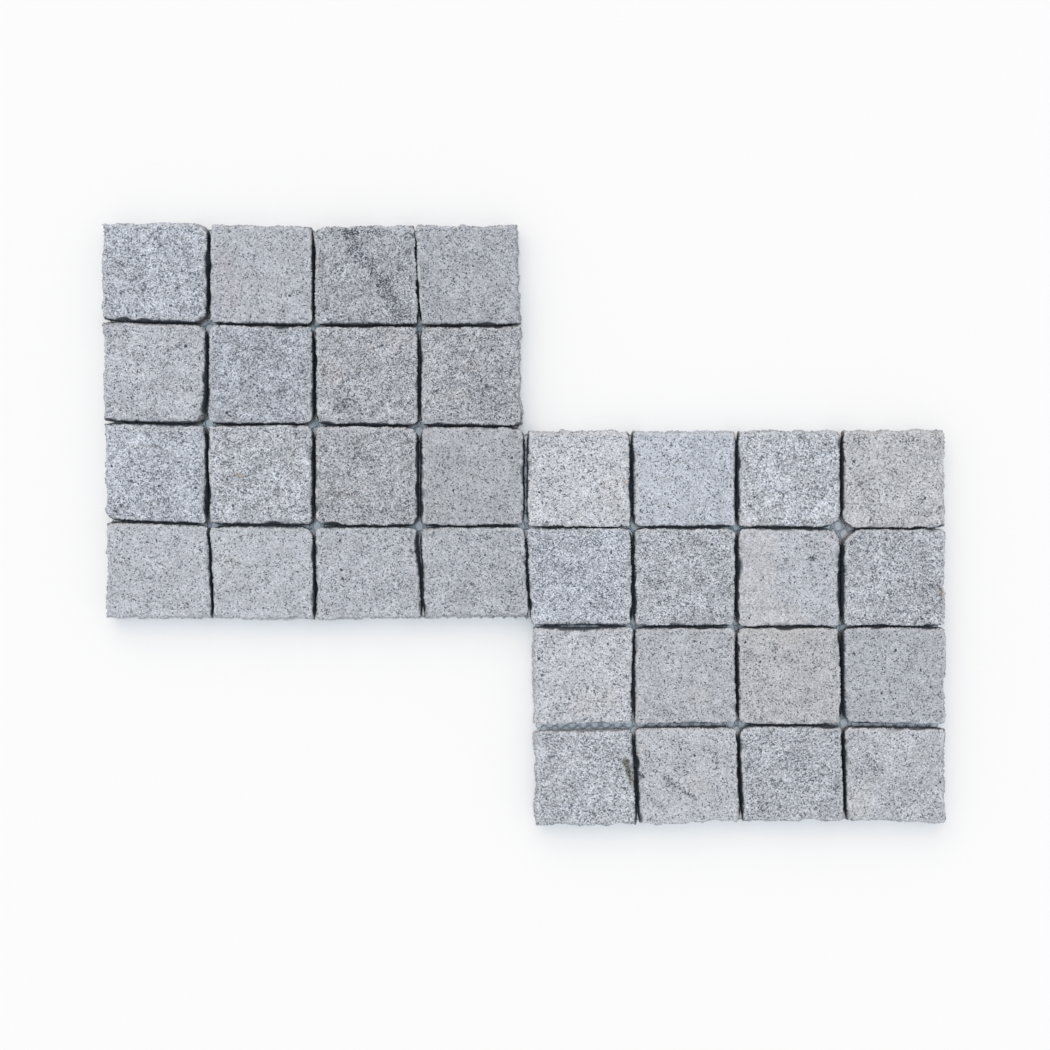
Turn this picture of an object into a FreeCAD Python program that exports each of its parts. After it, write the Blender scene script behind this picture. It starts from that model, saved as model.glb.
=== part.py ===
"""A sheet of granite setts on a backing net.

Two square fields of split granite setts stand side by side, the right one two rows lower, so that
sheets laid next to each other interlock. One plastic net under the setts holds them at their joints.
Units are millimetres. X runs along the sheet, Y across it and Z up; the origin is under the middle
of the sheet, on the surface that it lies on.
"""

import FreeCAD, Part
import math
import os
import random

# The setts: the usual top face, the thickness, and how much thinner some of them are.
SETT_LENGTH = 101.7
SETT_WIDTH = 97.6
SETT_THICKNESS = 25.0
THICKNESS_SPREAD = 1.2

# The usual joints between neighbouring edges, along X and along Y.
JOINT_X = 3.8
JOINT_Y = 2.9

# The layout: setts along a field's side, and rows that the right field is lowered by.
FIELD_SIDE = 4
ROWS_LOWERED = 2

# The split sides: how far they swell past the top edge, and how far hollows cut back at the edge and at
# the swell, as shares of half a joint; how far the sheet's outer sides swell; and how far the sawn
# underside is drawn in.
SWELL_SHARE_LEAST = 0.78
SWELL_SHARE_MOST = 0.91
EDGE_HOLLOW_SHARE = 0.5
SWELL_HOLLOW_SHARE = 0.2
OUTER_SWELL = 2.0
UNDERSIDE_DRAWN_IN = 2.0
SWELL_HEIGHT_SHARE = 0.55

# A joint that is wider than this share of the usual one stays open down to the net, and so does the joint
# between the two fields.
OPEN_JOINT_SHARE = 1.52

# The worn edge round the top face, the radius of the upright corners, and how much larger it is at the swell
# where two joints cross.
EDGE_BREAK = 1.6
CORNER_RADIUS_LEAST = 2.2
CORNER_RADIUS_MOST = 5.0
SWELL_CORNER_EXTRA = 4.5

# The net under the setts, and how far it stops inside their outer faces.
NET_THICKNESS = 1.0
NET_MARGIN = 1.5

# Every joint crossing lies a little off the regular grid. The tables give that as steps along X and Y,
# from the top row of crossings down and from left to right.
WANDER_STEP = 0.5
LEFT_WANDER = (
    ((-12, 9), (0, 7), (-4, 0), (-11, 4), (-9, 5)),
    ((-13, 8), (-5, 1), (-3, -2), (-3, -3), (-4, -2)),
    ((-9, 6), (-7, 0), (-2, 0), (-2, -3), (0, -4)),
    ((-6, 9), (-3, 0), (-3, -2), (-3, -4), (-1, -2)),
    ((-5, 7), (7, 8), (1, 5), (5, 8), (8, 12)),
)
RIGHT_WANDER = (
    ((0, -5), (-1, -7), (1, -6), (0, -6), (3, -4)),
    ((0, -5), (3, -5), (1, -6), (0, -7), (5, -7)),
    ((8, -2), (5, -2), (0, -4), (0, -3), (5, -3)),
    ((9, -6), (5, -2), (3, 0), (3, 0), (5, -2)),
    ((11, -8), (15, -6), (11, 2), (8, 3), (7, -2)),
)

# Corners that are broken away: field, row, column, corner, and the radius that is left.
TOP_LEFT, BOTTOM_LEFT, BOTTOM_RIGHT, TOP_RIGHT = range(4)
BROKEN_CORNERS = {
    ("left", 1, 1, TOP_RIGHT): 15.0,
    ("left", 1, 1, BOTTOM_RIGHT): 9.0,
    ("left", 1, 3, TOP_LEFT): 8.0,
    ("left", 2, 1, BOTTOM_RIGHT): 7.0,
    ("left", 2, 1, TOP_RIGHT): 6.0,
    ("left", 2, 2, BOTTOM_RIGHT): 6.0,
    ("left", 3, 1, BOTTOM_LEFT): 12.0,
    ("left", 3, 2, TOP_RIGHT): 6.0,
    ("left", 3, 3, TOP_RIGHT): 9.0,
    ("left", 3, 3, BOTTOM_LEFT): 8.0,
    ("left", 4, 2, TOP_RIGHT): 9.0,
    ("right", 1, 3, BOTTOM_RIGHT): 13.0,
    ("right", 1, 3, TOP_RIGHT): 7.0,
    ("right", 1, 4, BOTTOM_LEFT): 10.0,
    ("right", 2, 2, TOP_RIGHT): 6.0,
    ("right", 2, 3, TOP_RIGHT): 8.0,
    ("right", 2, 4, TOP_LEFT): 16.0,
    ("right", 3, 4, BOTTOM_LEFT): 8.0,
    ("right", 4, 3, TOP_LEFT): 9.0,
}

# Joints that are wider or narrower than usual: field, row, column and side of a sett beside it, and by how
# much, as a share of the usual joint.
LEFT_SIDE, BOTTOM_SIDE, RIGHT_SIDE, TOP_SIDE = range(4)
UNUSUAL_JOINTS = {
    ("left", 1, 2, RIGHT_SIDE): -0.25,
    ("left", 1, 3, RIGHT_SIDE): -0.7,
    ("left", 2, 1, RIGHT_SIDE): 0.15,
    ("left", 3, 2, RIGHT_SIDE): 0.2,
    ("left", 3, 3, RIGHT_SIDE): 0.5,
    ("left", 3, 4, RIGHT_SIDE): 0.3,
    ("left", 4, 1, RIGHT_SIDE): -0.35,
    ("left", 4, 2, RIGHT_SIDE): -0.25,
    ("left", 4, 4, RIGHT_SIDE): -0.35,
    ("left", 1, 1, BOTTOM_SIDE): 0.3,
    ("left", 2, 1, BOTTOM_SIDE): 0.5,
    ("left", 2, 2, BOTTOM_SIDE): -0.3,
    ("left", 3, 2, BOTTOM_SIDE): 0.2,
    ("left", 3, 4, BOTTOM_SIDE): -0.25,
    ("right", 1, 1, RIGHT_SIDE): 0.2,
    ("right", 1, 3, RIGHT_SIDE): -0.25,
    ("right", 2, 2, RIGHT_SIDE): 0.15,
    ("right", 2, 3, RIGHT_SIDE): 0.5,
    ("right", 3, 1, RIGHT_SIDE): -0.2,
    ("right", 3, 3, RIGHT_SIDE): 0.25,
    ("right", 1, 1, BOTTOM_SIDE): -0.4,
    ("right", 1, 4, BOTTOM_SIDE): -0.5,
    ("right", 2, 3, BOTTOM_SIDE): -0.25,
    ("right", 2, 4, BOTTOM_SIDE): -0.3,
    ("right", 3, 1, BOTTOM_SIDE): 1.25,
    ("right", 3, 2, BOTTOM_SIDE): 0.55,
    ("right", 3, 4, BOTTOM_SIDE): 0.55,
}

# Sides with a deep hollow or a slanting end: field, row, column and side, and the side's two bends, each at a
# share of the side and set back by so many millimetres at the edge, and by a share of that at the swell.
SHAPED_SWELL_SHARE = 0.35
SHAPED_SIDES = {
    ("left", 2, 1, RIGHT_SIDE): ((0.12, 4.0), (0.38, 0.8)),
    ("left", 3, 1, RIGHT_SIDE): ((0.12, 3.5), (0.4, 0.5)),
    ("left", 4, 3, RIGHT_SIDE): ((0.55, 0.8), (0.84, 3.5)),
    ("right", 3, 1, TOP_SIDE): ((0.46, 3.2), (0.66, 3.0)),
    ("right", 4, 4, RIGHT_SIDE): ((0.38, 3.2), (0.76, 3.4)),
}

# Where along a side its two bends lie, as a share of the side from each corner.
BEND_SHARE_LEAST = 0.25
BEND_SHARE_MOST = 0.4

UNEVENNESS_SEED = 7

PITCH_X = SETT_LENGTH + JOINT_X
PITCH_Y = SETT_WIDTH + JOINT_Y
SIDE_GAPS = (JOINT_X / 2, JOINT_Y / 2, JOINT_X / 2, JOINT_Y / 2)

# Each field's first column and row in the sheet, and the step to the neighbour beyond each side.
FIELD_STARTS = {"left": (0, 0), "right": (FIELD_SIDE, ROWS_LOWERED)}
NEIGHBOUR_STEPS = ((-1, 0), (0, 1), (1, 0), (0, -1))


def crossings(wander, field):
    """Rows of joint crossings of one field, counted from the whole sheet's top left corner."""
    first_column, first_row = FIELD_STARTS[field]
    sheet_columns = 2 * FIELD_SIDE
    sheet_rows = FIELD_SIDE + ROWS_LOWERED
    rows = []
    for j in range(FIELD_SIDE + 1):
        row = []
        for i in range(FIELD_SIDE + 1):
            off_x, off_y = wander[j % len(wander)][i % len(wander[0])]
            x = (first_column + i - sheet_columns / 2) * PITCH_X + off_x * WANDER_STEP
            y = (sheet_rows / 2 - first_row - j) * PITCH_Y + off_y * WANDER_STEP
            row.append((x, y))
        rows.append(row)
    return rows


def drawn_in(outline, distances):
    """The outline with each side moved inwards by its own distance; points run anticlockwise."""
    lines = []
    for (x0, y0), (x1, y1), distance in zip(outline, outline[1:] + outline[:1], distances):
        length = math.hypot(x1 - x0, y1 - y0)
        along = ((x1 - x0) / length, (y1 - y0) / length)
        start = (x0 - along[1] * distance, y0 + along[0] * distance)
        lines.append((start, along))
    corners = []
    for (p, d), (q, e) in zip(lines[-1:] + lines[:-1], lines):
        turn = d[0] * e[1] - d[1] * e[0]
        reach = ((q[0] - p[0]) * e[1] - (q[1] - p[1]) * e[0]) / turn
        corners.append((p[0] + d[0] * reach, p[1] + d[1] * reach))
    return corners


def side_points(start, end, bends):
    """The two bends of one side, each at its share of the side and set back by its depth."""
    length = math.hypot(end[0] - start[0], end[1] - start[1])
    along = ((end[0] - start[0]) / length, (end[1] - start[1]) / length)
    points = []
    for share, depth in bends:
        x = start[0] + along[0] * length * share - along[1] * depth
        y = start[1] + along[1] * length * share + along[0] * depth
        points.append((x, y))
    return points


def rounded_section(corners, radii, bends, z):
    """A closed wire at height z: an arc at each corner, and two bends along each side."""
    count = len(corners)
    bent = [side_points(corners[k], corners[(k + 1) % count], bends[k]) for k in range(count)]
    arcs = []
    for k, corner in enumerate(corners):
        here = FreeCAD.Vector(*corner, z)
        before = FreeCAD.Vector(*bent[k - 1][-1], z) - here
        after = FreeCAD.Vector(*bent[k][0], z) - here
        before.normalize()
        after.normalize()
        half_angle = before.getAngle(after) / 2
        tangent = radii[k] / math.tan(half_angle)
        middle = before + after
        middle.normalize()
        crown = here + middle * (radii[k] / math.sin(half_angle) - radii[k])
        arcs.append((here + before * tangent, crown, here + after * tangent))
    edges = []
    for k, (start, crown, end) in enumerate(arcs):
        edges.append(Part.Arc(start, crown, end).toShape())
        stops = [end] + [FreeCAD.Vector(*p, z) for p in bent[k]] + [arcs[(k + 1) % count][0]]
        edges += [Part.LineSegment(a, b).toShape() for a, b in zip(stops, stops[1:])]
    return Part.Wire(edges)


def side_bends(place, hollow_share, shaped_share, rng):
    """Places and depths of the two bends of each side: as listed, or by chance up to a share of half a joint."""
    bends = []
    for side, gap in enumerate(SIDE_GAPS):
        near = rng.uniform(BEND_SHARE_LEAST, BEND_SHARE_MOST)
        far = 1 - rng.uniform(BEND_SHARE_LEAST, BEND_SHARE_MOST)
        by_chance = [(share, rng.uniform(0, hollow_share * gap)) for share in (near, far)]
        listed = [(share, shaped_share * depth) for share, depth in SHAPED_SIDES.get(place + (side,), ())]
        bends.append(listed or by_chance)
    return bends


def neighbour(place, side):
    """Field, row and column of the sett beyond one side, or None on the sheet's outline."""
    field, row, column = place
    sheet_column = FIELD_STARTS[field][0] + column + NEIGHBOUR_STEPS[side][0]
    sheet_row = FIELD_STARTS[field][1] + row + NEIGHBOUR_STEPS[side][1]
    for name, (first_column, first_row) in FIELD_STARTS.items():
        if 0 < sheet_column - first_column <= FIELD_SIDE and 0 < sheet_row - first_row <= FIELD_SIDE:
            return name, sheet_row - first_row, sheet_column - first_column
    return None


def side_gap(place, side):
    """Half the joint beside one side, which the table may name from either sett."""
    beyond = neighbour(place, side)
    across = beyond + ((side + 2) % len(SIDE_GAPS),) if beyond else None
    unusual = UNUSUAL_JOINTS.get(place + (side,), UNUSUAL_JOINTS.get(across, 0.0))
    return SIDE_GAPS[side] * (1 + unusual)


def side_swell(place, side, gap, rng):
    """How far a side stands out past its top edge: nearly to the middle of its joint, and less in an open one."""
    share = rng.uniform(SWELL_SHARE_LEAST, SWELL_SHARE_MOST)
    usual = SIDE_GAPS[side]
    beyond = neighbour(place, side)
    if beyond is None:
        return OUTER_SWELL
    if beyond[0] != place[0] or gap > OPEN_JOINT_SHARE * usual:
        return share * min(gap, usual * usual / gap)
    return share * gap


def swell_corner(place, side):
    """How much larger the radius of the corner before one side is at the swell."""
    at_crossing = neighbour(place, side - 1) and neighbour(place, side)
    return SWELL_CORNER_EXTRA if at_crossing else 0.0


def sett(cell, place, rng):
    """One split sett in its cell: sawn underside, swelling split sides, worn edge and flat top."""
    sides = range(len(cell))
    gaps = [side_gap(place, side) for side in sides]
    swells = [side_swell(place, side, gap, rng) for side, gap in zip(sides, gaps)]
    edges = [gap if neighbour(place, side) else gap + OUTER_SWELL / 2 for side, gap in zip(sides, gaps)]
    radii = []
    for corner in range(len(cell)):
        usual = rng.uniform(CORNER_RADIUS_LEAST, CORNER_RADIUS_MOST)
        radii.append(BROKEN_CORNERS.get(place + (corner,), usual))
    thickness = SETT_THICKNESS - rng.uniform(0, THICKNESS_SPREAD)
    edge_bends = side_bends(place, EDGE_HOLLOW_SHARE, 1.0, rng)
    swell_bends = side_bends(place, SWELL_HOLLOW_SHARE, SHAPED_SWELL_SHARE, rng)
    swollen = [edge - swell for edge, swell in zip(edges, swells)]
    swell_radii = [radius + swell_corner(place, side) for side, radius in zip(sides, radii)]
    levels = (
        (0, [edge + UNDERSIDE_DRAWN_IN for edge in edges], radii, edge_bends),
        (SWELL_HEIGHT_SHARE * thickness, swollen, swell_radii, swell_bends),
        (thickness - EDGE_BREAK, edges, radii, edge_bends),
        (thickness, [edge + EDGE_BREAK for edge in edges], radii, edge_bends),
    )
    sections = [
        rounded_section(drawn_in(cell, distances), corner_radii, bends, NET_THICKNESS + height)
        for height, distances, corner_radii, bends in levels
    ]
    return Part.makeLoft(sections, True, True)


def field_setts(field, grid, rng):
    """The setts of one field by node name, row by row."""
    shapes = {}
    for j in range(FIELD_SIDE):
        for i in range(FIELD_SIDE):
            cell = [grid[j][i], grid[j + 1][i], grid[j + 1][i + 1], grid[j][i + 1]]
            name = f"sett_{field}_row{j + 1}_col{i + 1}"
            shapes[name] = sett(cell, (field, j + 1, i + 1), rng)
    return shapes


def net(left, right):
    """The net's stepped outline follows the outer setts, and stops NET_MARGIN inside their faces."""
    last = FIELD_SIDE
    outline = [
        left[0][0],
        left[last][0],
        right[last - ROWS_LOWERED][0],
        right[last][0],
        right[last][last],
        right[0][last],
        left[ROWS_LOWERED][last],
        left[0][last],
    ]
    inset_x = JOINT_X / 2 + NET_MARGIN
    inset_y = JOINT_Y / 2 + NET_MARGIN
    points = drawn_in(outline, [inset_x, inset_y] * (len(outline) // 2))
    corners = [FreeCAD.Vector(x, y, 0) for x, y in points]
    face = Part.Face(Part.makePolygon(corners + corners[:1]))
    return face.extrude(FreeCAD.Vector(0, 0, NET_THICKNESS))


def main():
    rng = random.Random(UNEVENNESS_SEED)
    left = crossings(LEFT_WANDER, "left")
    right = crossings(RIGHT_WANDER, "right")
    shapes = field_setts("left", left, rng)
    shapes.update(field_setts("right", right, rng))
    shapes["backing_net"] = net(left, right)

    box = Part.Compound(list(shapes.values())).BoundBox
    to_origin = FreeCAD.Vector(-box.Center.x, -box.Center.y, -box.ZMin)
    os.makedirs("parts", exist_ok=True)
    for name, shape in shapes.items():
        shape.translate(to_origin)
        shape.exportStep(os.path.join("parts", f"{name}.step"))


main()
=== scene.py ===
"""Looks of a sheet of granite setts on its backing net.

Each sett is a new mesh over its solid: split sides with scooped flakes, a chipped top edge and a flamed
top. The net is a lattice of welded strands. Lengths are metres, unless a name ends in _MM. A colour is
written as in a picture, 0 to 255, and a tint is the share of each colour that it leaves.
"""

import math
import random

import bpy
import numpy as np
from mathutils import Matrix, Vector, noise
from mathutils.bvhtree import BVHTree


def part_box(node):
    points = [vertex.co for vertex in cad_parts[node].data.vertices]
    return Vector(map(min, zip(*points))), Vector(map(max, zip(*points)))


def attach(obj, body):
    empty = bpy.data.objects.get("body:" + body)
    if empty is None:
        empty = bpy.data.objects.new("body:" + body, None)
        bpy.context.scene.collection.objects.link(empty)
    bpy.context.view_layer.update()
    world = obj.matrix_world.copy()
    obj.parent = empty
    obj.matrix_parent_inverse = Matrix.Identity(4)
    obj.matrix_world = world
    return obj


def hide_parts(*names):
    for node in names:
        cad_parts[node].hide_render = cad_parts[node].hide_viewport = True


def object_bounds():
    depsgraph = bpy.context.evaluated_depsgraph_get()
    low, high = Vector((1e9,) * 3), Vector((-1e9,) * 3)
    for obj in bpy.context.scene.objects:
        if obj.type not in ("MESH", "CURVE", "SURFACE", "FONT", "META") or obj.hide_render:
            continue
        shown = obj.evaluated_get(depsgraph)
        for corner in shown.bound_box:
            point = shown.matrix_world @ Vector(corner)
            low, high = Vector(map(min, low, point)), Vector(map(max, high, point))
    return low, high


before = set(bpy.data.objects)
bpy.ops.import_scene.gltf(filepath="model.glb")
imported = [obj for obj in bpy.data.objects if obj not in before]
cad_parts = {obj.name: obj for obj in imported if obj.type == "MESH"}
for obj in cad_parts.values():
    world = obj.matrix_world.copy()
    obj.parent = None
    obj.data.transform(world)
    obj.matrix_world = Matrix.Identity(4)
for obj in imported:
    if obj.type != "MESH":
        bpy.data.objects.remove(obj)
cad_low, cad_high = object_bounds()

MM = 0.001
SEED = 11

# The picture: a square frame as wide as FRAME_WIDTH at the top faces, seen from straight above, with the
# sheet a little off its middle.
FRAME_WIDTH = 1.05
CAMERA_HEIGHT = 1.7
CAMERA_ASIDE = (0.0008, -0.0005)

# Light on a level surface: an even sky, and two soft lamps that make the sum white. A lamp has its light,
# its tilt from straight above towards the picture's top, its turn from there, and its spread.
SKY_LIGHT = (0.69, 0.675, 0.66)
LAMPS = {
    "lamp_above": ((0.175, 0.225, 0.275), math.radians(3), 0.0, math.radians(12)),
    "lamp_top": ((0.185, 0.15, 0.115), math.radians(42), math.radians(18), math.radians(60)),
}
FLOOR_SIZE = 8.0
FLOOR_DROP = 0.0002
FLOOR_TINT = (0.93, 0.93, 0.93)

# The setts' mesh: points round a sett, heights of the rings on its sides as shares of its thickness, the
# insets of the rings on its top and underside with the points on each, and the angle from which an edge is
# sharp. The points are even along the outline at OUTLINE_SHARE, which is tried at more directions first.
ROUND_POINTS = 400
TRIES_PER_POINT = 4
OUTLINE_SHARE = 0.9
SIDE_SHARES = (
    0.0, 0.05, 0.12, 0.2, 0.28, 0.36, 0.44, 0.52, 0.59, 0.66,
    0.72, 0.78, 0.83, 0.875, 0.91, 0.94, 0.965, 0.985, 1.0,
)
TOP_INSETS_MM = (
    (400, (1.0, 2.0, 3.2, 4.6, 6.4, 8.6)),
    (200, (10.8, 13.0, 15.2, 17.4, 19.6, 21.8, 24.0, 26.2)),
    (100, (28.4, 30.8, 33.2, 35.6, 38.0, 40.4, 42.8, 45.2)),
)
UNDERSIDE_INSETS_MM = ((200, (6.0,)), (100, (20.0, 34.0)))
HALF_SETT_MM = 48.0
SHARP_ANGLE = math.radians(26)
RAY_MARGIN = 2e-5

# The rings at the belly, below the top edge, and where that edge is chipped and worn.
BELLY_SHARE = 0.59
BELLY_LEVEL = SIDE_SHARES.index(BELLY_SHARE)
EDGE_LEVEL = SIDE_SHARES.index(0.94)
CHIP_LEVEL = SIDE_SHARES.index(0.965)

# The broken outline: points round a sett from one step to the next, how far a step stands back, and how far
# single points do, each with its bias to the lower limit. Where a neighbour is nearer than NEIGHBOUR_REACH,
# a share of all roughness is left: more at the top edge than at the belly. There the outline stands out
# first, so that it wavers about the solid's. A blur is so many points to each side.
STEP_POINTS = (5, 26)
STEP_BACK = (0.0, 0.0034)
STEP_BIAS = 2.0
STEP_BLUR = 1
RAGGED_BACK = (0.0, 0.0022)
RAGGED_BIAS = 3.0
NEIGHBOUR_REACH = 0.014
EDGE_ROUGHNESS_LEFT = 0.8
BELLY_ROUGHNESS_LEFT = 0.0
JOINT_STAND_OUT = 0.0017
OUTLINE_BLUR = 5

# Corners: the cosine below which a turn is one, how far the outer ones stand back, how far the belly does
# at the joints' crossings, and over how many points beside the corner.
CORNER_COSINE = 0.8
OUTER_CORNER_BACK = 0.001
OUTER_CORNER_SPAN = 4
CROSSING_BACK = 0.0016
CROSSING_SPAN = 6

# Bellies closer than FILLED_REACH swell towards each other until FILL_LEFT is left of each one's half. Those
# that face along X and are closer than the reach of the painted shade in the joints swell by uneven shares
# of the joint, up to MOST_FILL.
FILLED_REACH = 0.0018
FILL_LEFT = 0.0001
UNEVEN_FILL = 0.27
UNEVEN_FILL_SIZE = 0.006
MOST_FILL = 0.45

# Flakes scooped out of the split sides, and chips along the top edge: how many on a sett, the radius of the
# scoop, how deep it cuts and the bias to the lower limit, and how far a chip's direction leans up.
SIDE_FLAKES = 80
FLAKE_RADIUS = (0.006, 0.028)
FLAKE_DEPTH = (0.0003, 0.0024)
FLAKE_BIAS = 1.3
EDGE_CHIPS = 90
CHIP_RADIUS = (0.002, 0.007)
CHIP_DEPTH = (0.0002, 0.0021)
CHIP_BIAS = 1.8
CHIP_LEAN = (0.1, 0.9)

# Fine roughness: how deep it cuts on the whole, and its size. The topmost ring has a share of it, and so do
# sides in a joint. Its noise has so many octaves, each finer and weaker than the last.
SIDE_ROUGHNESS = 0.0003
SIDE_ROUGHNESS_SIZE = 0.0045
TOP_ROUGHNESS = 0.00018
TOP_ROUGHNESS_SIZE = 0.006
TOP_RING_SHARE = 0.3
JOINT_SIDE_SHARE = 0.1
NOISE_OCTAVES = 3
NOISE_FINER = 2.0
NOISE_WEAKER = 0.9

# Painted shade down the split sides in the joints that are closer at the belly than its reach, for sides
# that face
# along X and along Y: the share of it on the latter, where it starts under the top, where it is full, and
# its tint.
PAINTED_SHADE_REACH = (0.0039, 0.0034)
PAINTED_SHADE_ALONG_Y = 0.8
PAINTED_SHADE_START = 0.0016
PAINTED_SHADE_FULL = 0.005
PAINTED_SHADE_TINT = (0.098, 0.118, 0.147)

# The kinds of stone: how light it is, its hue, and how strong its speckle is.
SHADES = {"bright": 1.22, "pale": 1.14, "light": 1.06, "mid": 1.0, "dull": 0.945, "deep": 0.9}
HUES = {
    "cool": (0.99, 1.0, 1.018),
    "plain": (1.0, 1.0, 1.0),
    "warm": (1.012, 1.0, 0.98),
    "tawny": (1.028, 1.0, 0.955),
}
SPECKLES = {"fine": 0.82, "even": 0.94, "bold": 1.3}
STONES = {
    "left": (
        ("light cool bold", "mid plain fine", "deep plain bold", "deep plain even"),
        ("light plain even", "dull cool bold", "dull warm bold", "deep warm bold"),
        ("light cool bold", "light plain bold", "deep warm bold", "deep warm fine"),
        ("light plain fine", "light plain fine", "mid plain even", "dull plain even"),
    ),
    "right": (
        ("bright warm even", "pale cool fine", "pale plain bold", "light tawny even"),
        ("light cool bold", "mid plain bold", "light plain fine", "mid plain bold"),
        ("pale warm even", "mid warm fine", "mid tawny fine", "dull plain fine"),
        ("light plain bold", "light warm fine", "mid plain bold", "light warm even"),
    ),
}

# Kinds of mark: its tint, and how many more dark grains it holds.
MARK_KINDS = {
    "warm": ((1.016, 0.998, 0.97), 0.0),
    "pink": ((1.025, 0.985, 0.98), 0.0),
    "rust": ((0.80, 0.68, 0.54), 0.0),
    "buff": ((1.04, 1.005, 0.975), -0.1),
    "vein": ((0.93, 0.935, 0.945), 0.18),
    "seam": ((0.58, 0.58, 0.57), 0.2),
    "spot": ((0.4, 0.42, 0.45), 0.45),
    "dim": ((0.90, 0.91, 0.92), 0.12),
    "olive": ((0.3, 0.29, 0.22), 0.1),
    "white": ((1.2, 1.2, 1.19), -0.15),
}

# Marks on single setts: the kind, its line on the top faces in millimetres, and its half width. From its
# border in, a mark rises to MARK_PEAK at its line, cut off at 1, and its line wavers.
MARKS = (
    ("vein", ((-188, 297), (-150, 294)), 8.0),
    (
        "vein",
        ((-176, 290), (-168, 273), (-155, 264), (-142, 244), (-135, 229), (-127, 212), (-118, 203)),
        11.0,
    ),
    ("pink", ((-300, 262), (-292, 225)), 16.0),
    ("pink", ((-195, 155), (-190, 150)), 13.0),
    ("pink", ((-130, 190), (-128, 182)), 13.0),
    ("dim", ((-190, 118), (-170, 122)), 10.0),
    ("warm", ((-55, 160), (-50, 158)), 9.0),
    ("warm", ((-70, 132), (-60, 128)), 10.0),
    ("white", ((-383, 88), (-407, 65)), 4.5),
    ("warm", ((-245, 84), (-235, 70)), 14.0),
    ("rust", ((-287, 50), (-284, 48)), 4.0),
    ("warm", ((-188, 30), (-180, 32)), 9.0),
    ("warm", ((-163, 42), (-160, 38)), 6.0),
    ("warm", ((-295, -40), (-285, -55)), 17.0),
    ("spot", ((-113, -26), (-110, -28)), 3.0),
    ("warm", ((88, 40), (92, 15)), 16.0),
    ("rust", ((101, 44), (101, 40)), 2.5),
    ("pink", ((304, 9), (310, 7)), 8.0),
    ("pink", ((305, -12), (309, -16)), 8.0),
    ("buff", ((232, -8), (234, -50), (232, -85), (262, -98)), 34.0),
    ("spot", ((288, -34), (288, -35)), 3.5),
    ("rust", ((417, -64), (418, -70)), 3.5),
    ("warm", ((60, -180), (85, -172)), 18.0),
    ("warm", ((172, -172), (180, -168)), 12.0),
    ("dim", ((142, -184), (144, -190)), 5.0),
    ("olive", ((102, -237), (105, -248), (109, -259)), 5.5),
    ("seam", ((140, -254), (149, -260), (157, -266), (171, -274)), 2.8),
    ("spot", ((116, -249), (118, -252)), 3.5),
    ("warm", ((170, -258), (177, -262)), 10.0),
    ("dim", ((270, -232), (280, -240)), 11.0),
    ("warm", ((332, -284), (342, -270)), 16.0),
)
MARK_PEAK = 1.4
MARK_WAVER_MM = 2.0
MARK_WAVER_SIZE_MM = 7.0

# Granite: its middle colour, the sizes of its crystals, how far their sides wobble, how much each kind sways
# the light, and the hues between which the small ones lie. Clouds have a size, a detail and a roughness.
STONE_COLOUR = (178, 182, 190)
COARSE_GRAIN = 0.0022
SMALL_GRAIN = 0.00105
GRAIN_WOBBLE = 0.0009
WOBBLES_PER_METRE = 900.0
COARSE_SWAY = 0.16
SMALL_SWAY = 0.79
DRIFT_SWAY = 0.92
DRIFT_CLOUDS = (0.022, 5.0, 0.72)
GRAIN_HUES = ((0.97, 1.0, 1.03), (1.03, 1.0, 0.97))
GRAIN_SHIFT = 20.0

# Its mica: the colour and size, the share of the grains, how far that varies from patch to patch, how dark a
# grain is from least to most, and the share of coarse crystals that are mica too.
MICA_COLOUR = (66, 72, 82)
MICA_GRAIN = 0.0012
MICA_SHARE = 0.17
MICA_PATCHINESS = 0.85
PATCH_CLOUDS = (0.009, 3.0, 0.6)
MICA_STRENGTH = (0.45, 1.0)
COARSE_MICA_SHARE = 0.0015

# Its weathering: where the clouds break a mark up, the colour of the worn edge, which is partly a painted
# highlight over the chamfer's shade, and where they break that up, the most wear there is, and the wear on
# the first ring inside the edge.
MARK_CLOUDS = (0.005, 3.0, 0.7)
MARK_BREAK = (0.25, 0.5)
WORN_AND_HIGHLIGHT_COLOUR = (216, 218, 222)
WEAR_AND_HIGHLIGHT_CLOUDS = (0.004, 3.0, 0.7)
WEAR_AND_HIGHLIGHT_BREAK = (0.3, 0.7)
MOST_WEAR_AND_HIGHLIGHT = 0.8
INNER_WEAR_AND_HIGHLIGHT = 0.5

# Its surface: how rough it is from crystal to crystal, how much it mirrors, and the relief of its crystals.
STONE_ROUGHNESS = (0.55, 0.85)
STONE_MIRROR = 0.3
COARSE_RELIEF = 0.6
SMALL_RELIEF = 0.4
STONE_BUMP = 0.5
STONE_BUMP_HEIGHT = 0.0004

# The net: half the width and half the height of its diamond cells, how far they are shifted along Y, how
# far the net stays inside its solid's border, the least side of a cell that is cut there, and the hole in a
# cell, as shares of the way from its middle to the cell's corners and to the middles of its sides.
CELL_HALF_MM = (5.75, 8.0)
NET_SHIFT = 0.0053
NET_INSET = 0.002
LEAST_CELL_STEP = 0.0008
HOLE_AT_CORNERS_X = 0.68
HOLE_AT_CORNERS_Y = 0.62
HOLE_AT_SIDES = 0.81

# A cell's corners and the middles of its sides, anticlockwise, in quarters of its width and height; how
# little a face's direction rises where the face is upright; and the digits that tell two places apart.
CELL_BORDER = ((2, 0), (1, 1), (0, 2), (-1, 1), (-2, 0), (-1, -1), (0, -2), (1, -1))
UPRIGHT_RISE = 0.5
PLACE_DIGITS = 6

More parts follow.
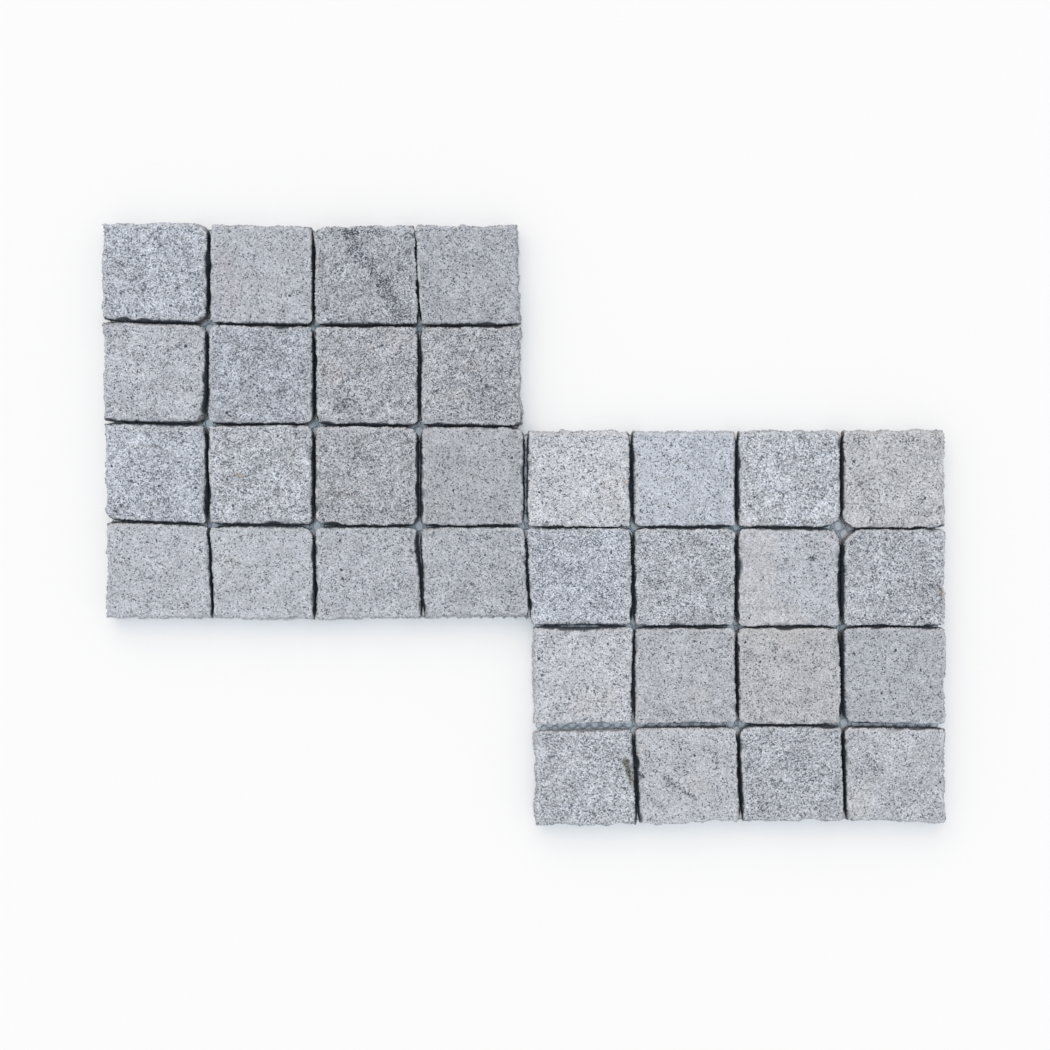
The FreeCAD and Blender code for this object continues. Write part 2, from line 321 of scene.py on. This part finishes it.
# The net's plastic: its colour, that of the dust on it and where the dust lies, how rough it is without and
# with dust, and its fine relief.
NET_COLOUR = (206, 211, 216)
DUST_COLOUR = (224, 227, 230)
DUST_CLOUDS = (0.012, 4.0, 0.6)
DUST_BREAK = (0.4, 0.7)
NET_ROUGHNESS = (0.5, 0.8)
NET_RELIEF_CLOUDS = (0.002, 2.0, 0.5)
NET_BUMP = 0.3
NET_BUMP_HEIGHT = 0.0002

# The colour sockets of a Mix node, which share their names with its other sockets.
MIX_FACTOR, MIX_FIRST, MIX_SECOND = 0, 6, 7
MIX_RESULT = 2


# Meshes of the setts

def reach_to(tree, centre, turn, z):
    """How far the solid reaches from its centre in one level direction."""
    start = Vector((centre.x, centre.y, z))
    distance = tree.ray_cast(start, Vector((math.cos(turn), math.sin(turn), 0)))[3]
    return distance


def outline_angles(tree, centre, z):
    """Directions from the centre that meet the outline at even steps along it."""
    turns = np.linspace(0, 2 * math.pi, TRIES_PER_POINT * ROUND_POINTS, endpoint=False)
    reach = np.array([reach_to(tree, centre, turn, z) for turn in turns])
    points = np.stack([reach * np.cos(turns), reach * np.sin(turns)], axis=1)
    steps = np.linalg.norm(np.roll(points, -1, axis=0) - points, axis=1)
    run = np.concatenate([[0], np.cumsum(steps)])
    wanted = np.linspace(0, run[-1], ROUND_POINTS, endpoint=False)
    return np.interp(wanted, run, np.append(turns, 2 * math.pi))


def solids_tree(names):
    """A search tree over the faces of some solids."""
    points, faces = [], []
    for name in names:
        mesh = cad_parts[name].data
        first = len(points)
        points += [v.co.copy() for v in mesh.vertices]
        faces += [[first + k for k in p.vertices] for p in mesh.polygons]
    return BVHTree.FromPolygons(points, faces)


def side_grid(node):
    """Points on the solid's sides: rings from the underside up to the top, each ROUND_POINTS long."""
    tree = solids_tree([node])
    low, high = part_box(node)
    centre = (low + high) / 2
    turns = outline_angles(tree, centre, low.z + OUTLINE_SHARE * (high.z - low.z))
    rings = []
    for share in SIDE_SHARES:
        z = low.z + share * (high.z - low.z)
        inside = min(max(z, low.z + RAY_MARGIN), high.z - RAY_MARGIN)
        reach = np.array([reach_to(tree, centre, turn, inside) for turn in turns])
        ring = np.stack([centre.x + reach * np.cos(turns), centre.y + reach * np.sin(turns),
                         np.full(ROUND_POINTS, z)], axis=1)
        rings.append(ring)
    return np.array(rings), centre


def grid_normals(grid):
    """Outward directions at each point of a grid of rings."""
    around = np.roll(grid, -1, axis=1) - np.roll(grid, 1, axis=1)
    upward = np.gradient(grid, axis=0)
    normals = np.cross(around, upward)
    return normals / np.linalg.norm(normals, axis=2, keepdims=True)


def blurred(values, reach):
    """Values round a ring, each averaged with its neighbours."""
    return np.mean([np.roll(values, k) for k in range(-reach, reach + 1)], axis=0)


def clearance(ring, normals, everything, reach):
    """How far it is outwards from each point of a ring to the next solid, up to the reach."""
    found = []
    for point, normal in zip(ring, normals):
        outward = Vector((normal[0], normal[1], 0)).normalized()
        distance = everything.ray_cast(Vector(point) + outward * RAY_MARGIN, outward, reach)[3]
        found.append(reach if distance is None else distance)
    return np.array(found)


def corners_of(normals, span):
    """1 at the corners of a ring and 0 along its sides, from its outward directions."""
    before, after = np.roll(normals, span, axis=0), np.roll(normals, -span, axis=0)
    return blurred(np.sum(before * after, axis=1) < CORNER_COSINE, span)


def between(rng, limits, bias=1.0):
    """A value between two limits; a bias over 1 favours the lower one."""
    return limits[0] + (limits[1] - limits[0]) * rng.random() ** bias


def rough(points, size):
    """Noise of about -1 to 1 at each point."""
    made = [noise.fractal(Vector(p / size), NOISE_WEAKER, NOISE_FINER, NOISE_OCTAVES) for p in points]
    return np.array(made)


def step_backs(rng):
    """How far the broken outline stands back at each point round a sett: slanting lines, steps between."""
    backs = np.zeros(ROUND_POINTS)
    place = 0
    while place < ROUND_POINTS:
        count = min(rng.randint(*STEP_POINTS), ROUND_POINTS - place)
        start = between(rng, STEP_BACK, STEP_BIAS)
        end = between(rng, STEP_BACK, STEP_BIAS)
        backs[place:place + count] = np.linspace(start, end, count)
        place += count
    ragged = np.array([between(rng, RAGGED_BACK, RAGGED_BIAS) for _ in range(ROUND_POINTS)])
    return blurred(backs, STEP_BLUR) + ragged


def belly_fill(ring, free, facing_y):
    """How far the belly swells into the joint at each point of its ring."""
    even = np.clip(free / 2 - FILL_LEFT, 0, None)
    share = np.clip(UNEVEN_FILL * (1 + rough(ring, UNEVEN_FILL_SIZE)), 0, MOST_FILL)
    wide = np.where(free < PAINTED_SHADE_REACH[0], share * free * (1 - facing_y), 0)
    return np.where(free < FILLED_REACH, even, wide)


def break_outline(grid, normals, everything, rng):
    """Moves the rings to the broken outline; gives the share of roughness left, and the painted shade round
    it.
    """
    outward = normals[EDGE_LEVEL]
    facing_y = np.abs(outward[:, 1])
    free = clearance(grid[EDGE_LEVEL], outward, everything, NEIGHBOUR_REACH)
    met = blurred(free < NEIGHBOUR_REACH, OUTLINE_BLUR)
    # Painted shade goes on the sides whose belly is close to a neighbour's, less on those that face along Y.
    free = clearance(grid[BELLY_LEVEL], normals[BELLY_LEVEL], everything, max(PAINTED_SHADE_REACH))
    closed = blurred(free < np.interp(facing_y, (0, 1), PAINTED_SHADE_REACH), OUTLINE_BLUR)
    crossing = corners_of(outward, CROSSING_SPAN) * met
    fill = belly_fill(grid[BELLY_LEVEL], free, facing_y) * (1 - crossing)
    left = np.interp(SIDE_SHARES, (BELLY_SHARE, 1), (BELLY_ROUGHNESS_LEFT, EDGE_ROUGHNESS_LEFT))
    loose = 1 - np.outer(1 - left, met)
    backs = (step_backs(rng) - JOINT_STAND_OUT * met) * loose
    backs += OUTER_CORNER_BACK * corners_of(outward, OUTER_CORNER_SPAN) * (1 - met)
    belly = np.interp(SIDE_SHARES, (0, BELLY_SHARE, 1), (0, 1, 0))
    backs += np.outer(belly, CROSSING_BACK * crossing - fill)
    grid[:, :, :2] -= outward[:, :2] * backs[:, :, None]
    return loose, closed * (1 - (1 - PAINTED_SHADE_ALONG_Y) * facing_y)


def ring_faces(outer, inner):
    """Faces between a ring and a ring inside it with as many points or half as many."""
    count = len(outer)
    faces = []
    if len(inner) == count:
        for k in range(count):
            n = (k + 1) % count
            faces.append((outer[k], outer[n], inner[n], inner[k]))
        return faces
    for k in range(len(inner)):
        a, b, c = outer[2 * k], outer[2 * k + 1], outer[(2 * k + 2) % count]
        p, q = inner[k], inner[(k + 1) % len(inner)]
        faces += [(a, b, p), (b, q, p), (b, c, q)]
    return faces


def add_cap(points, faces, ring, insets, centre, flip):
    """Rings from an edge ring in to the middle of a flat face."""
    edge = np.array([points[k] for k in ring])
    middle = np.array([centre.x, centre.y, edge[0][2]])
    outer = list(ring)
    made = []
    for count, steps in insets:
        part = edge[::len(edge) // count]
        for inset in steps:
            share = 1 - inset / HALF_SETT_MM
            inner = list(range(len(points), len(points) + count))
            points += list(middle + (part - middle) * share)
            made += ring_faces(outer, inner)
            outer = inner
    points.append(middle)
    last = len(points) - 1
    made += [(outer[k], outer[(k + 1) % len(outer)], last) for k in range(len(outer))]
    faces += [face[::-1] for face in made] if flip else made


def closed_mesh(grid, centre):
    """Points and faces of a whole sett from the rings on its sides, and where its underside starts."""
    points = list(grid.reshape(-1, 3))
    faces = []
    rings = [list(range(j * ROUND_POINTS, (j + 1) * ROUND_POINTS)) for j in range(len(grid))]
    for lower, upper in zip(rings, rings[1:]):
        faces += ring_faces(lower, upper)
    add_cap(points, faces, rings[-1], TOP_INSETS_MM, centre, False)
    underside = len(points)
    add_cap(points, faces, rings[0], UNDERSIDE_INSETS_MM, centre, True)
    return np.array(points), faces, underside


def scoop(points, place, outward, radius, depth):
    """Pushes points out of a ball that cuts so deep at a place, away from the ball's middle."""
    middle = place + outward * (radius - depth)
    away = points - middle
    distance = np.linalg.norm(away, axis=1)
    inside = distance < radius
    points[inside] = middle + away[inside] * (radius / distance[inside])[:, None]


def scoop_flakes(points, grid, normals, loose, rng):
    """Scoops flakes out of the split sides, and chips along the top edge."""
    for _ in range(SIDE_FLAKES):
        level = rng.randrange(CHIP_LEVEL + 1)
        place = rng.randrange(ROUND_POINTS)
        radius = between(rng, FLAKE_RADIUS)
        depth = between(rng, FLAKE_DEPTH, FLAKE_BIAS) * loose[level, place]
        scoop(points, grid[level, place], normals[level, place], radius, depth)
    for _ in range(EDGE_CHIPS):
        place = rng.randrange(ROUND_POINTS)
        radius = between(rng, CHIP_RADIUS)
        depth = between(rng, CHIP_DEPTH, CHIP_BIAS)
        lean = rng.uniform(*CHIP_LEAN)
        outward = normals[EDGE_LEVEL, place] * (1 - lean) + np.array([0, 0, lean])
        scoop(points, grid[CHIP_LEVEL, place], outward / np.linalg.norm(outward), radius, depth)


def roughen(points, normals, loose, underside):
    """Cuts fine roughness into the split sides and the flamed top."""
    levels = len(normals)
    sides = levels * ROUND_POINTS
    split = 1 + rough(points[:sides], SIDE_ROUGHNESS_SIZE)
    fade = np.repeat([0.0] + [1.0] * (levels - 2) + [TOP_RING_SHARE], ROUND_POINTS)
    fade *= JOINT_SIDE_SHARE + (1 - JOINT_SIDE_SHARE) * loose.ravel()
    points[:sides] -= normals.reshape(-1, 3) * (SIDE_ROUGHNESS * split * fade)[:, None]
    flamed = 1 + rough(points[sides:underside], TOP_ROUGHNESS_SIZE)
    points[sides:underside, 2] -= TOP_ROUGHNESS * flamed


def sett_mesh(node, everything, rng):
    """The sett's points, faces, how near each point is to the top edge, and the painted shade on it."""
    grid, centre = side_grid(node)
    normals = grid_normals(grid)
    loose, painted_shade_round = break_outline(grid, normals, everything, rng)
    points, faces, underside = closed_mesh(grid, centre)
    scoop_flakes(points[:underside], grid, normals, loose, rng)
    roughen(points, normals, loose, underside)
    low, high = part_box(node)
    points[:, 2] = np.clip(points[:, 2], low.z, high.z)

    sides = len(grid) * ROUND_POINTS
    # The worn edge: the top rings are partly wear and partly a painted highlight over the chamfer's shade.
    edge = np.zeros(len(points))
    edge[CHIP_LEVEL * ROUND_POINTS:sides] = 1.0
    edge[sides:sides + ROUND_POINTS] = INNER_WEAR_AND_HIGHLIGHT
    # Painted shade: the sides of narrow joints grow darker from under the top edge downwards.
    painted_shade = np.zeros(len(points))
    painted_shade[:sides] = np.clip((high.z - points[:sides, 2] - PAINTED_SHADE_START) / (PAINTED_SHADE_FULL - PAINTED_SHADE_START), 0, 1)
    painted_shade[:sides] *= np.tile(painted_shade_round, len(grid))
    return points, faces, edge, painted_shade


def marks_at(points):
    """What the marks do to the stone's colour at each point, and how many more dark grains they bring."""
    tint = np.ones((len(points), 3))
    flecks = np.zeros(len(points))
    level = points[:, :2] / MM
    waver = [noise.noise_vector(Vector((x, y, 0)) / MARK_WAVER_SIZE_MM) for x, y in level]
    level = level + MARK_WAVER_MM * np.array(waver)[:, :2]
    for kind, line, half_width in MARKS:
        nearest = np.full(len(points), np.inf)
        for start, end in zip(line, line[1:]):
            start = np.array(start, float)
            along = np.array(end, float) - start
            share = np.clip((level - start) @ along / (along @ along), 0, 1)
            nearest = np.minimum(nearest, np.linalg.norm(level - start - share[:, None] * along, axis=1))
        strength = np.clip(MARK_PEAK * (1 - nearest / half_width), 0, 1)
        strength = strength * strength * (3 - 2 * strength)
        colour, more = MARK_KINDS[kind]
        tint *= 1 + strength[:, None] * (np.array(colour) - 1)
        flecks += strength * more
    return tint, flecks


def add_attribute(mesh, name, kind, field, values):
    """A value at each point of the mesh, for the material to read."""
    made = mesh.attributes.new(name, kind, "POINT")
    made.data.foreach_set(field, np.ascontiguousarray(values, dtype=np.float32).ravel())


def four_channels(colours):
    """Colours with a fourth channel of 1."""
    return np.column_stack([colours, np.ones(len(colours))])


def build_sett(place, kind, material, everything, rng):
    """One sett over its solid, of a kind of stone."""
    node = f"sett_{place}"
    points, faces, edge, painted_shade = sett_mesh(node, everything, rng)
    mesh = bpy.data.meshes.new(f"stone_{place}")
    mesh.from_pydata(points.tolist(), [], faces)
    mesh.polygons.foreach_set("use_smooth", [True] * len(mesh.polygons))
    mesh.set_sharp_from_angle(angle=SHARP_ANGLE)
    shade, hue, speckle = kind.split()
    tone = SHADES[shade] * np.array(HUES[hue])
    count = len(points)
    shift = [rng.uniform(-GRAIN_SHIFT, GRAIN_SHIFT) for _ in range(3)]
    stain, flecks = marks_at(points)
    add_attribute(mesh, "stone_shift", "FLOAT_VECTOR", "vector", np.tile(shift, (count, 1)))
    add_attribute(mesh, "stone_tone", "FLOAT_COLOR", "color", four_channels(np.tile(tone, (count, 1))))
    add_attribute(mesh, "stone_stain", "FLOAT_COLOR", "color", four_channels(stain))
    add_attribute(mesh, "stone_flecks", "FLOAT", "value", flecks)
    add_attribute(mesh, "stone_speckle", "FLOAT", "value", np.full(count, SPECKLES[speckle]))
    # The worn edge with its painted highlight, and the painted shade in the joints.
    add_attribute(mesh, "stone_wear_and_highlight", "FLOAT", "value", edge)
    add_attribute(mesh, "stone_painted_shade", "FLOAT", "value", painted_shade)
    mesh.materials.append(material)
    piece = bpy.data.objects.new(mesh.name, mesh)
    bpy.context.scene.collection.objects.link(piece)
    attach(piece, "root")
    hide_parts(node)


# The net

def net_walls():
    """A search tree over the upright faces of the net's solid."""
    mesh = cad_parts["backing_net"].data
    upright = [list(p.vertices) for p in mesh.polygons if abs(p.normal.z) < UPRIGHT_RISE]
    return BVHTree.FromPolygons([v.co.copy() for v in mesh.vertices], upright)


def drawn_in(walls, place):
    """A place moved inside the net's solid where it is outside, or too near its border."""
    wall, normal, _, _ = walls.find_nearest(place)
    beyond = (place - wall).dot(normal) + NET_INSET
    return place - normal * beyond if beyond > 0 else place


def net_cells(walls, low, high):
    """Diamond cells of the net: the corners of each one and the middles of its sides, cut at the border."""
    half_x, half_y = CELL_HALF_MM[0] * MM, CELL_HALF_MM[1] * MM
    cells = []
    for i in range(int((high.x - low.x) / half_x) + 1):
        for j in range(int((high.y - low.y) / half_y) + 1):
            middle = Vector((low.x + i * half_x, low.y + j * half_y + NET_SHIFT, (low.z + high.z) / 2))
            if (i + j) % 2 or drawn_in(walls, middle) is not middle:
                continue
            places = [middle + Vector((a / 2 * half_x, b / 2 * half_y, 0)) for a, b in CELL_BORDER]
            places = [drawn_in(walls, drawn_in(walls, place)) for place in places]
            steps = [(p - q).length for p, q in zip(places, places[1:] + places[:1])]
            if min(steps) > LEAST_CELL_STEP:
                cells.append([place[:2] for place in places])
    return cells


def build_net(material):
    """One sheet of diamond cells with a rounded hole in each; its strands are thickest along the sides."""
    low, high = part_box("backing_net")
    shares = (HOLE_AT_CORNERS_X, HOLE_AT_SIDES, HOLE_AT_CORNERS_Y, HOLE_AT_SIDES) * 2
    points, faces, known, sides = [], [], {}, {}

    def point(x, y, z):
        """The number of the point at a place, made when it is first asked for."""
        key = (round(x, PLACE_DIGITS), round(y, PLACE_DIGITS), round(z, PLACE_DIGITS))
        if key not in known:
            known[key] = len(points)
            points.append((x, y, z))
        return known[key]

    for border in net_cells(net_walls(), low, high):
        middle_x, middle_y = np.mean(border, axis=0)
        upper = [point(x, y, high.z) for x, y in border]
        lower = [point(x, y, low.z) for x, y in border]
        rim = [point(middle_x + s * (x - middle_x), middle_y + s * (y - middle_y), (low.z + high.z) / 2)
               for (x, y), s in zip(border, shares)]
        for k in range(len(border)):
            n = (k + 1) % len(border)
            faces += [(upper[k], upper[n], rim[n], rim[k]), (rim[k], rim[n], lower[n], lower[k])]
            sides[upper[k], upper[n]] = (lower[k], lower[n])
    for (a, b), (c, d) in sides.items():
        if (b, a) not in sides:
            faces.append((b, a, c, d))
    mesh = bpy.data.meshes.new("net_strands")
    mesh.from_pydata(points, [], faces)
    mesh.polygons.foreach_set("use_smooth", [True] * len(mesh.polygons))
    mesh.materials.append(material)
    piece = bpy.data.objects.new("net_strands", mesh)
    bpy.context.scene.collection.objects.link(piece)
    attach(piece, "root")
    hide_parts("backing_net")


# Nodes of materials

def new_material(name):
    """A material with its node tree and its Principled shader."""
    material = bpy.data.materials.new(name)
    material.use_nodes = True
    return material, material.node_tree, material.node_tree.nodes["Principled BSDF"]


def rgba(red, green, blue):
    """A colour written as 0 to 255 in a picture, as linear light with a fourth channel of 1."""
    linear = []
    for value in (red, green, blue):
        share = value / 255
        linear.append(share / 12.92 if share <= 0.04045 else ((share + 0.055) / 1.055) ** 2.4)
    return (*linear, 1)


def set_input(tree, socket, value):
    """Links a socket to an input, or gives the input a plain value."""
    if isinstance(value, bpy.types.NodeSocket):
        tree.links.new(value, socket)
    else:
        socket.default_value = value


def add_node(tree, kind, settings=(), **inputs):
    """A node with its settings; an input is a socket to link or a plain value."""
    made = tree.nodes.new(kind)
    for name, value in dict(settings).items():
        setattr(made, name, value)
    for name, value in inputs.items():
        set_input(tree, made.inputs[name.replace("_", " ")], value)
    return made


def calc(tree, operation, *values, clamp=False):
    """A Math node."""
    made = tree.nodes.new("ShaderNodeMath")
    made.operation = operation
    made.use_clamp = clamp
    for socket, value in zip(made.inputs, values):
        set_input(tree, socket, value)
    return made.outputs[0]


def centred(tree, value):
    """A value of 0 to 1, as one of -0.5 to 0.5."""
    return calc(tree, "SUBTRACT", value, 0.5)


def spread(tree, value, limits):
    """A value of 0 to 1, as one between two limits."""
    return calc(tree, "MULTIPLY_ADD", value, limits[1] - limits[0], limits[0])


def vector_calc(tree, operation, *values):
    """A Vector Math node."""
    made = tree.nodes.new("ShaderNodeVectorMath")
    made.operation = operation
    for socket, value in zip(made.inputs, values):
        set_input(tree, socket, value)
    return made.outputs[0]


def mix_colours(tree, blend, factor, first, second):
    """A Mix node for colours."""
    made = tree.nodes.new("ShaderNodeMix")
    made.data_type = "RGBA"
    made.blend_type = blend
    made.clamp_factor = True
    set_input(tree, made.inputs[MIX_FACTOR], factor)
    set_input(tree, made.inputs[MIX_FIRST], first)
    set_input(tree, made.inputs[MIX_SECOND], second)
    return made.outputs[MIX_RESULT]


def attribute(tree, name, output):
    """A value stored on the mesh."""
    return add_node(tree, "ShaderNodeAttribute", {"attribute_name": name}).outputs[output]


def grains(tree, place, size):
    """Crystals of about that size: a random colour for each."""
    made = add_node(tree, "ShaderNodeTexVoronoi", Vector=place, Scale=1 / size)
    return add_node(tree, "ShaderNodeSeparateColor", Color=made.outputs["Color"]).outputs


def clouds(tree, place, size, detail, roughness):
    """Soft noise whose largest patches are about that size."""
    inputs = {"Vector": place, "Scale": 1 / size, "Detail": detail, "Roughness": roughness}
    return add_node(tree, "ShaderNodeTexNoise", **inputs).outputs[0]


def smooth_step(tree, value, low, high):
    """0 below low, 1 above high, and smooth between them."""
    settings = {"interpolation_type": "SMOOTHSTEP"}
    inputs = {"Value": value, "From_Min": low, "From_Max": high}
    return add_node(tree, "ShaderNodeMapRange", settings, **inputs).outputs[0]


# Materials

def minerals(tree, place, wobbled, coarse, small):
    """The sett's own tone, swayed from crystal to crystal, with grains of mica in it."""
    speckle = attribute(tree, "stone_speckle", "Fac")
    sway = calc(tree, "MULTIPLY", centred(tree, coarse[0]), COARSE_SWAY)
    sway = calc(tree, "MULTIPLY_ADD", centred(tree, small[0]), SMALL_SWAY, sway)
    drift = clouds(tree, place, *DRIFT_CLOUDS)
    sway = calc(tree, "MULTIPLY_ADD", centred(tree, drift), DRIFT_SWAY, sway)
    light = calc(tree, "MULTIPLY_ADD", sway, speckle, 1.0)
    cool, warm = GRAIN_HUES
    hue = mix_colours(tree, "MIX", small[1], (*cool, 1), (*warm, 1))
    tone = attribute(tree, "stone_tone", "Color")
    stone = mix_colours(tree, "MULTIPLY", 1.0, tone, rgba(*STONE_COLOUR))
    stone = mix_colours(tree, "MULTIPLY", 1.0, stone, hue)
    stone = vector_calc(tree, "MULTIPLY", stone, light)

    mica = grains(tree, wobbled, MICA_GRAIN)
    patches = clouds(tree, place, *PATCH_CLOUDS)
    flecks = attribute(tree, "stone_flecks", "Fac")
    share = calc(tree, "MULTIPLY_ADD", centred(tree, patches), MICA_PATCHINESS, MICA_SHARE)
    share = calc(tree, "MULTIPLY_ADD", share, speckle, flecks)
    strength = calc(tree, "ADD", spread(tree, mica[1], MICA_STRENGTH), flecks, clamp=True)
    dark = calc(tree, "MULTIPLY", calc(tree, "LESS_THAN", mica[0], share), strength)
    dark = calc(tree, "MAXIMUM", dark, calc(tree, "LESS_THAN", coarse[2], COARSE_MICA_SHARE))
    return mix_colours(tree, "MIX", dark, stone, rgba(*MICA_COLOUR))


def weathered(tree, place, stone):
    """The stone with its marks, its worn edge with a painted highlight, and the painted shade in its joints.
    """
    broken = smooth_step(tree, clouds(tree, place, *MARK_CLOUDS), *MARK_BREAK)
    stone = mix_colours(tree, "MULTIPLY", broken, stone, attribute(tree, "stone_stain", "Color"))
    # The worn edge is partly wear and partly a painted highlight that lifts the chamfer's shade.
    worn_and_highlit = smooth_step(tree, clouds(tree, place, *WEAR_AND_HIGHLIGHT_CLOUDS), *WEAR_AND_HIGHLIGHT_BREAK)
    worn_and_highlit = calc(tree, "MULTIPLY", attribute(tree, "stone_wear_and_highlight", "Fac"), worn_and_highlit)
    worn_and_highlit = calc(tree, "MULTIPLY", worn_and_highlit, MOST_WEAR_AND_HIGHLIGHT)
    stone = mix_colours(tree, "MIX", worn_and_highlit, stone, rgba(*WORN_AND_HIGHLIGHT_COLOUR))
    # Painted shade darkens the sides down in the narrow joints.
    painted_shade = attribute(tree, "stone_painted_shade", "Fac")
    return mix_colours(tree, "MULTIPLY", painted_shade, stone, (*PAINTED_SHADE_TINT, 1))


def granite():
    """Speckled granite: pale feldspar, grey quartz and dark mica, tinted for each sett."""
    material, tree, shader = new_material("granite")
    here = add_node(tree, "ShaderNodeTexCoord").outputs["Object"]
    place = vector_calc(tree, "ADD", here, attribute(tree, "stone_shift", "Vector"))
    ripple = add_node(tree, "ShaderNodeTexNoise", Vector=place, Scale=WOBBLES_PER_METRE, Detail=1.0)
    wobble = vector_calc(tree, "SUBTRACT", ripple.outputs["Color"], (0.5, 0.5, 0.5))
    wobbled = vector_calc(tree, "MULTIPLY_ADD", wobble, (GRAIN_WOBBLE,) * 3, place)
    coarse = grains(tree, wobbled, COARSE_GRAIN)
    small = grains(tree, wobbled, SMALL_GRAIN)
    stone = weathered(tree, place, minerals(tree, place, wobbled, coarse, small))
    tree.links.new(stone, shader.inputs["Base Color"])

    tree.links.new(spread(tree, coarse[1], STONE_ROUGHNESS), shader.inputs["Roughness"])
    shader.inputs["Specular IOR Level"].default_value = STONE_MIRROR
    relief = calc(tree, "MULTIPLY", small[2], SMALL_RELIEF)
    relief = calc(tree, "MULTIPLY_ADD", coarse[2], COARSE_RELIEF, relief)
    bump = add_node(tree, "ShaderNodeBump", Strength=STONE_BUMP, Distance=STONE_BUMP_HEIGHT, Height=relief)
    tree.links.new(bump.outputs[0], shader.inputs["Normal"])
    return material


def net_plastic():
    """Dull grey moulded plastic with patches of dust."""
    material, tree, shader = new_material("net_plastic")
    here = add_node(tree, "ShaderNodeTexCoord").outputs["Object"]
    dust = smooth_step(tree, clouds(tree, here, *DUST_CLOUDS), *DUST_BREAK)
    colour = mix_colours(tree, "MIX", dust, rgba(*NET_COLOUR), rgba(*DUST_COLOUR))
    tree.links.new(colour, shader.inputs["Base Color"])
    tree.links.new(spread(tree, dust, NET_ROUGHNESS), shader.inputs["Roughness"])
    relief = clouds(tree, here, *NET_RELIEF_CLOUDS)
    bump = add_node(tree, "ShaderNodeBump", Strength=NET_BUMP, Distance=NET_BUMP_HEIGHT, Height=relief)
    tree.links.new(bump.outputs[0], shader.inputs["Normal"])
    return material


def white_floor():
    """A plain white floor."""
    material, _, shader = new_material("white_floor")
    shader.inputs["Base Color"].default_value = (*FLOOR_TINT, 1)
    shader.inputs["Roughness"].default_value = 1.0
    shader.inputs["Specular IOR Level"].default_value = 0.0
    return material


# Stage, light and camera

def build_floor():
    """A wide white floor just under the sheet."""
    half = FLOOR_SIZE / 2
    mesh = bpy.data.meshes.new("floor")
    corners = [(-half, -half), (half, -half), (half, half), (-half, half)]
    mesh.from_pydata([(x, y, cad_low.z - FLOOR_DROP) for x, y in corners], [], [(0, 1, 2, 3)])
    mesh.materials.append(white_floor())
    floor = bpy.data.objects.new("floor", mesh)
    bpy.context.scene.collection.objects.link(floor)


def build_light():
    """An even sky that looks white, and the soft lamps."""
    scene = bpy.context.scene
    scene.view_settings.view_transform = "Standard"
    world = bpy.data.worlds.new("sky")
    scene.world = world
    world.use_nodes = True
    tree = world.node_tree
    rays = add_node(tree, "ShaderNodeLightPath").outputs
    seen = calc(tree, "MAXIMUM", rays["Is Camera Ray"], rays["Is Glossy Ray"])
    seen = calc(tree, "MAXIMUM", seen, rays["Is Transmission Ray"])
    colour = mix_colours(tree, "MIX", seen, (*SKY_LIGHT, 1), (1, 1, 1, 1))
    tree.links.new(colour, tree.nodes["Background"].inputs["Color"])

    for name, (light, tilt, turn, spread_angle) in LAMPS.items():
        lamp = bpy.data.lights.new(name, "SUN")
        lamp.color = light
        lamp.energy = math.pi / math.cos(tilt)
        lamp.angle = spread_angle
        holder = bpy.data.objects.new(name, lamp)
        holder.rotation_euler = (-tilt, 0, turn)
        scene.collection.objects.link(holder)


def build_camera():
    """A camera straight above the sheet, with the picture's top along +Y."""
    data = bpy.data.cameras.new("camera")
    data.angle = 2 * math.atan(FRAME_WIDTH / 2 / CAMERA_HEIGHT)
    camera = bpy.data.objects.new("camera", data)
    camera.location = (*CAMERA_ASIDE, cad_high.z + CAMERA_HEIGHT)
    bpy.context.scene.collection.objects.link(camera)
    bpy.context.scene.camera = camera


def main():
    """The setts field by field, the net, and the stage with its light and camera."""
    rng = random.Random(SEED)
    noise.seed_set(SEED)
    stone = granite()
    everything = solids_tree([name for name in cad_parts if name.startswith("sett")])
    for field, rows in STONES.items():
        for row, kinds in enumerate(rows, 1):
            for column, kind in enumerate(kinds, 1):
                build_sett(f"{field}_row{row}_col{column}", kind, stone, everything, rng)
    build_net(net_plastic())
    build_floor()
    build_light()
    build_camera()


main()
